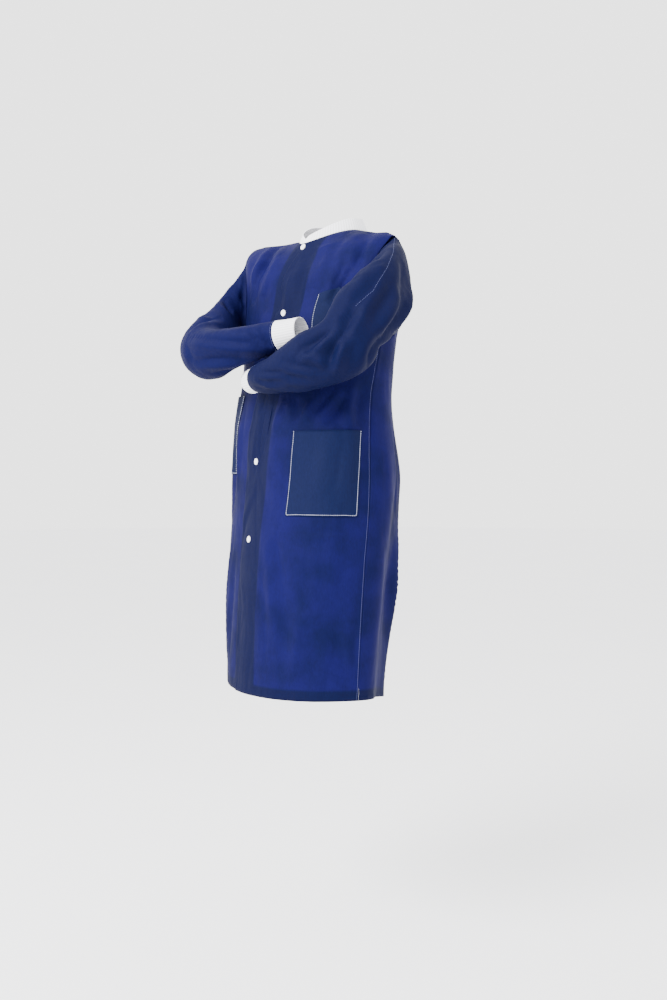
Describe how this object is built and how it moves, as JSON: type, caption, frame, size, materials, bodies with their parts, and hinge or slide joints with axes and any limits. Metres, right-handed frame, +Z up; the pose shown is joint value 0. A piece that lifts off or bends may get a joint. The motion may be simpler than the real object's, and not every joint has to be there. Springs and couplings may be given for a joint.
{
  "type": "visitor gown",
  "caption": "Knee-length snap-front visitor gown of thin nonwoven cloth with knit collar and cuffs and patch pockets, worn shape with the arms crossed.",
  "frame": {"origin": "centre of the neck opening, level with the side-neck points, where the shoulders hold the gown", "axes": "front of the gown faces -Y, the wearer's left is +X, +Z up"},
  "size_m": [0.5253, 0.3772, 0.967],
  "materials": {
    "nonwoven_navy": "crisp spunbonded nonwoven, dark navy, slight sheen",
    "pocket_navy": "crisp spunbonded nonwoven laid double, darker navy",
    "knit_white": "white rib knit, matte",
    "snap_white": "white moulded plastic, satin"
  },
  "bodies": {
    "root": {"back_panel": "nonwoven_navy", "left_front": "nonwoven_navy", "right_front": "nonwoven_navy", "left_sleeve": "nonwoven_navy", "right_sleeve": "nonwoven_navy", "left_cuff": "knit_white", "right_cuff": "knit_white", "collar": "knit_white", "chest_pocket": "pocket_navy", "left_hip_pocket": "pocket_navy", "right_hip_pocket": "pocket_navy", "snap_cap_1": "snap_white", "snap_back_1": "snap_white", "snap_cap_2": "snap_white", "snap_back_2": "snap_white", "snap_cap_3": "snap_white", "snap_back_3": "snap_white", "snap_cap_4": "snap_white", "snap_back_4": "snap_white", "snap_cap_5": "snap_white", "snap_back_5": "snap_white"}
  },
  "joints": []
}
